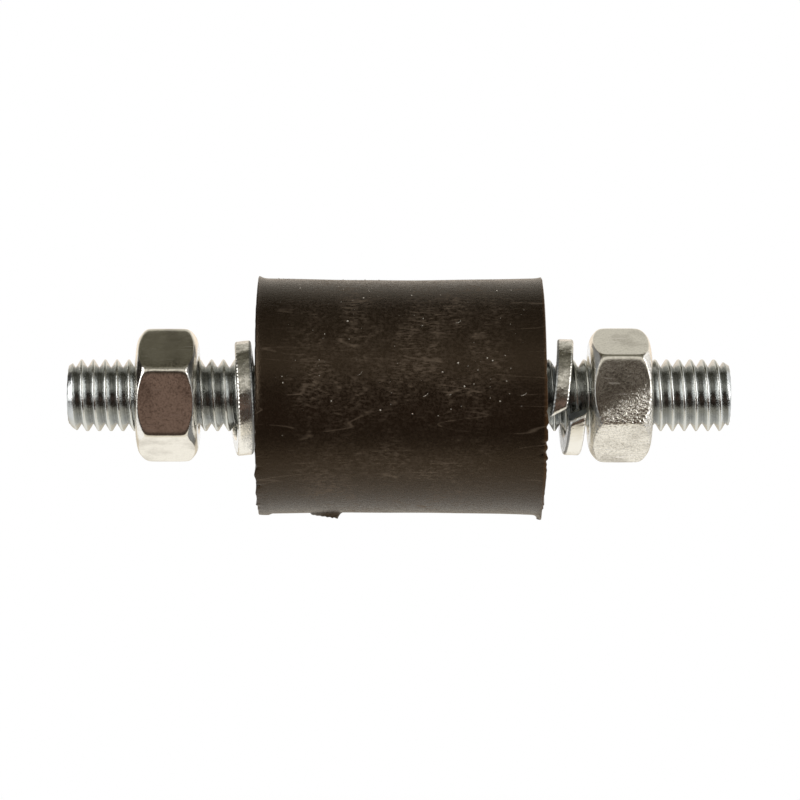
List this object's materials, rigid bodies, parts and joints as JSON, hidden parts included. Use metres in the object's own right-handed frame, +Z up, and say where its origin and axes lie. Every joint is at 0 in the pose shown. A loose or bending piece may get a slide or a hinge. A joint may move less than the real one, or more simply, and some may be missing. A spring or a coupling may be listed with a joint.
{
  "type": "bobbin vibration mount",
  "caption": "Rubber cylinder bonded to steel end plates, with a threaded stud out of each end that carries a split lock washer and a hexagon nut, to carry a machine and damp its vibration.",
  "frame": {"origin": "middle of the rubber body, on the axis of the studs", "axes": "+X along the studs towards the right stud, +Z up, with the torn gate of the rubber underneath"},
  "size_m": [0.056, 0.0206, 0.0206],
  "materials": {
    "rubber": "moulded natural rubber, dark brown-black, satin with fine scratches",
    "plate_zinc": "zinc-plated steel, turned",
    "stud_zinc": "zinc-plated steel, rolled thread",
    "washer_zinc": "bright zinc-plated spring steel",
    "nut_zinc": "bright zinc-plated steel"
  },
  "bodies": {
    "root": {"rubber_body": "rubber", "end_plate_left": "plate_zinc", "end_plate_right": "plate_zinc", "stud_left": "stud_zinc", "stud_right": "stud_zinc", "lock_washer_left": "washer_zinc", "lock_washer_right": "washer_zinc", "nut_left": "nut_zinc", "nut_right": "nut_zinc"}
  },
  "joints": []
}
